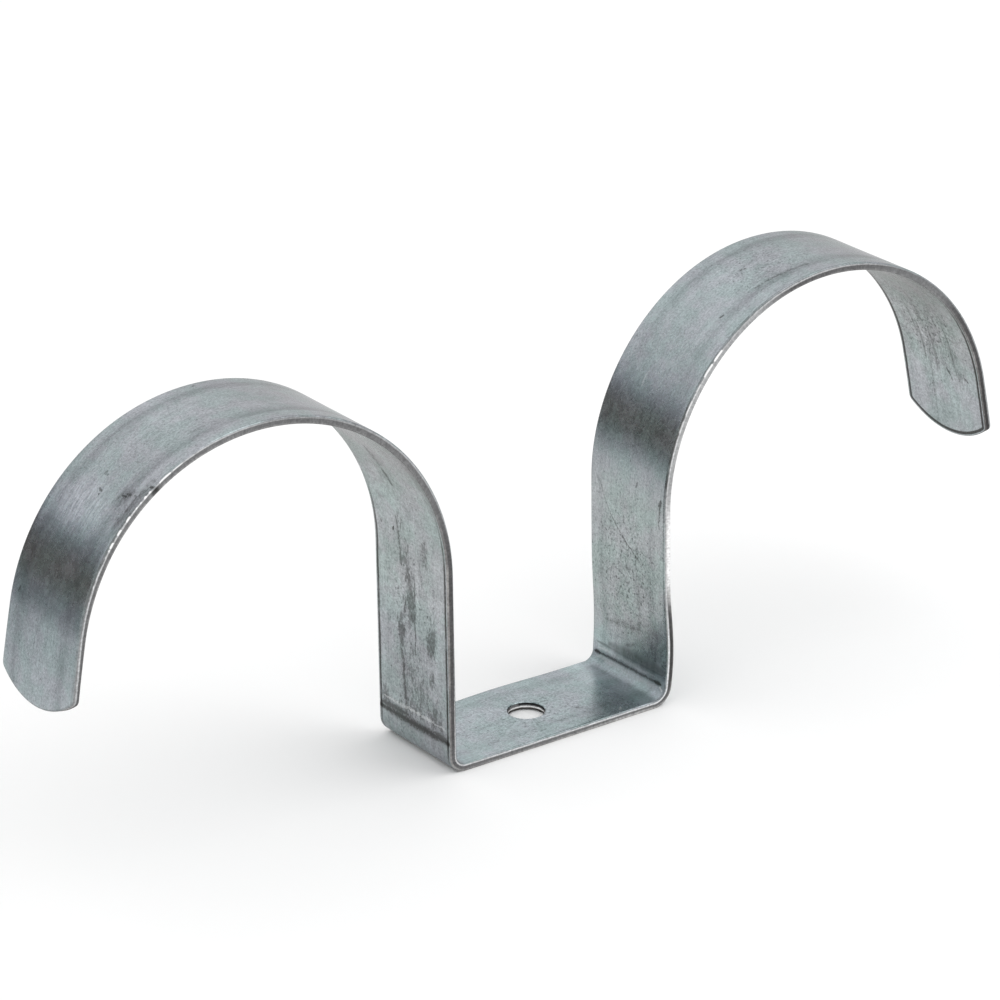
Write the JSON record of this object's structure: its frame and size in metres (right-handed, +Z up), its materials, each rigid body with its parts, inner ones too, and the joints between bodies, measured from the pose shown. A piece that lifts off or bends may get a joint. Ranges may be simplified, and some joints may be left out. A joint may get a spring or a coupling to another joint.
{
  "type": "duct floor bracket",
  "caption": "Galvanised steel strip bent into round duct saddles on either side of a flat foot with a fixing hole, to hold ventilation ducts down on a floor.",
  "frame": {"origin": "centre of the foot's underside, on the axis of the fixing hole", "axes": "+Z up from the floor, +X along the strip towards one saddle, +Y across the strip, along the duct axes"},
  "size_m": [0.2066, 0.0226, 0.078],
  "materials": {
    "galvanised_steel": "galvanised, satin, with rolling lines and small handling marks"
  },
  "bodies": {
    "root": {"bracket_strip": "galvanised_steel"}
  },
  "joints": []
}
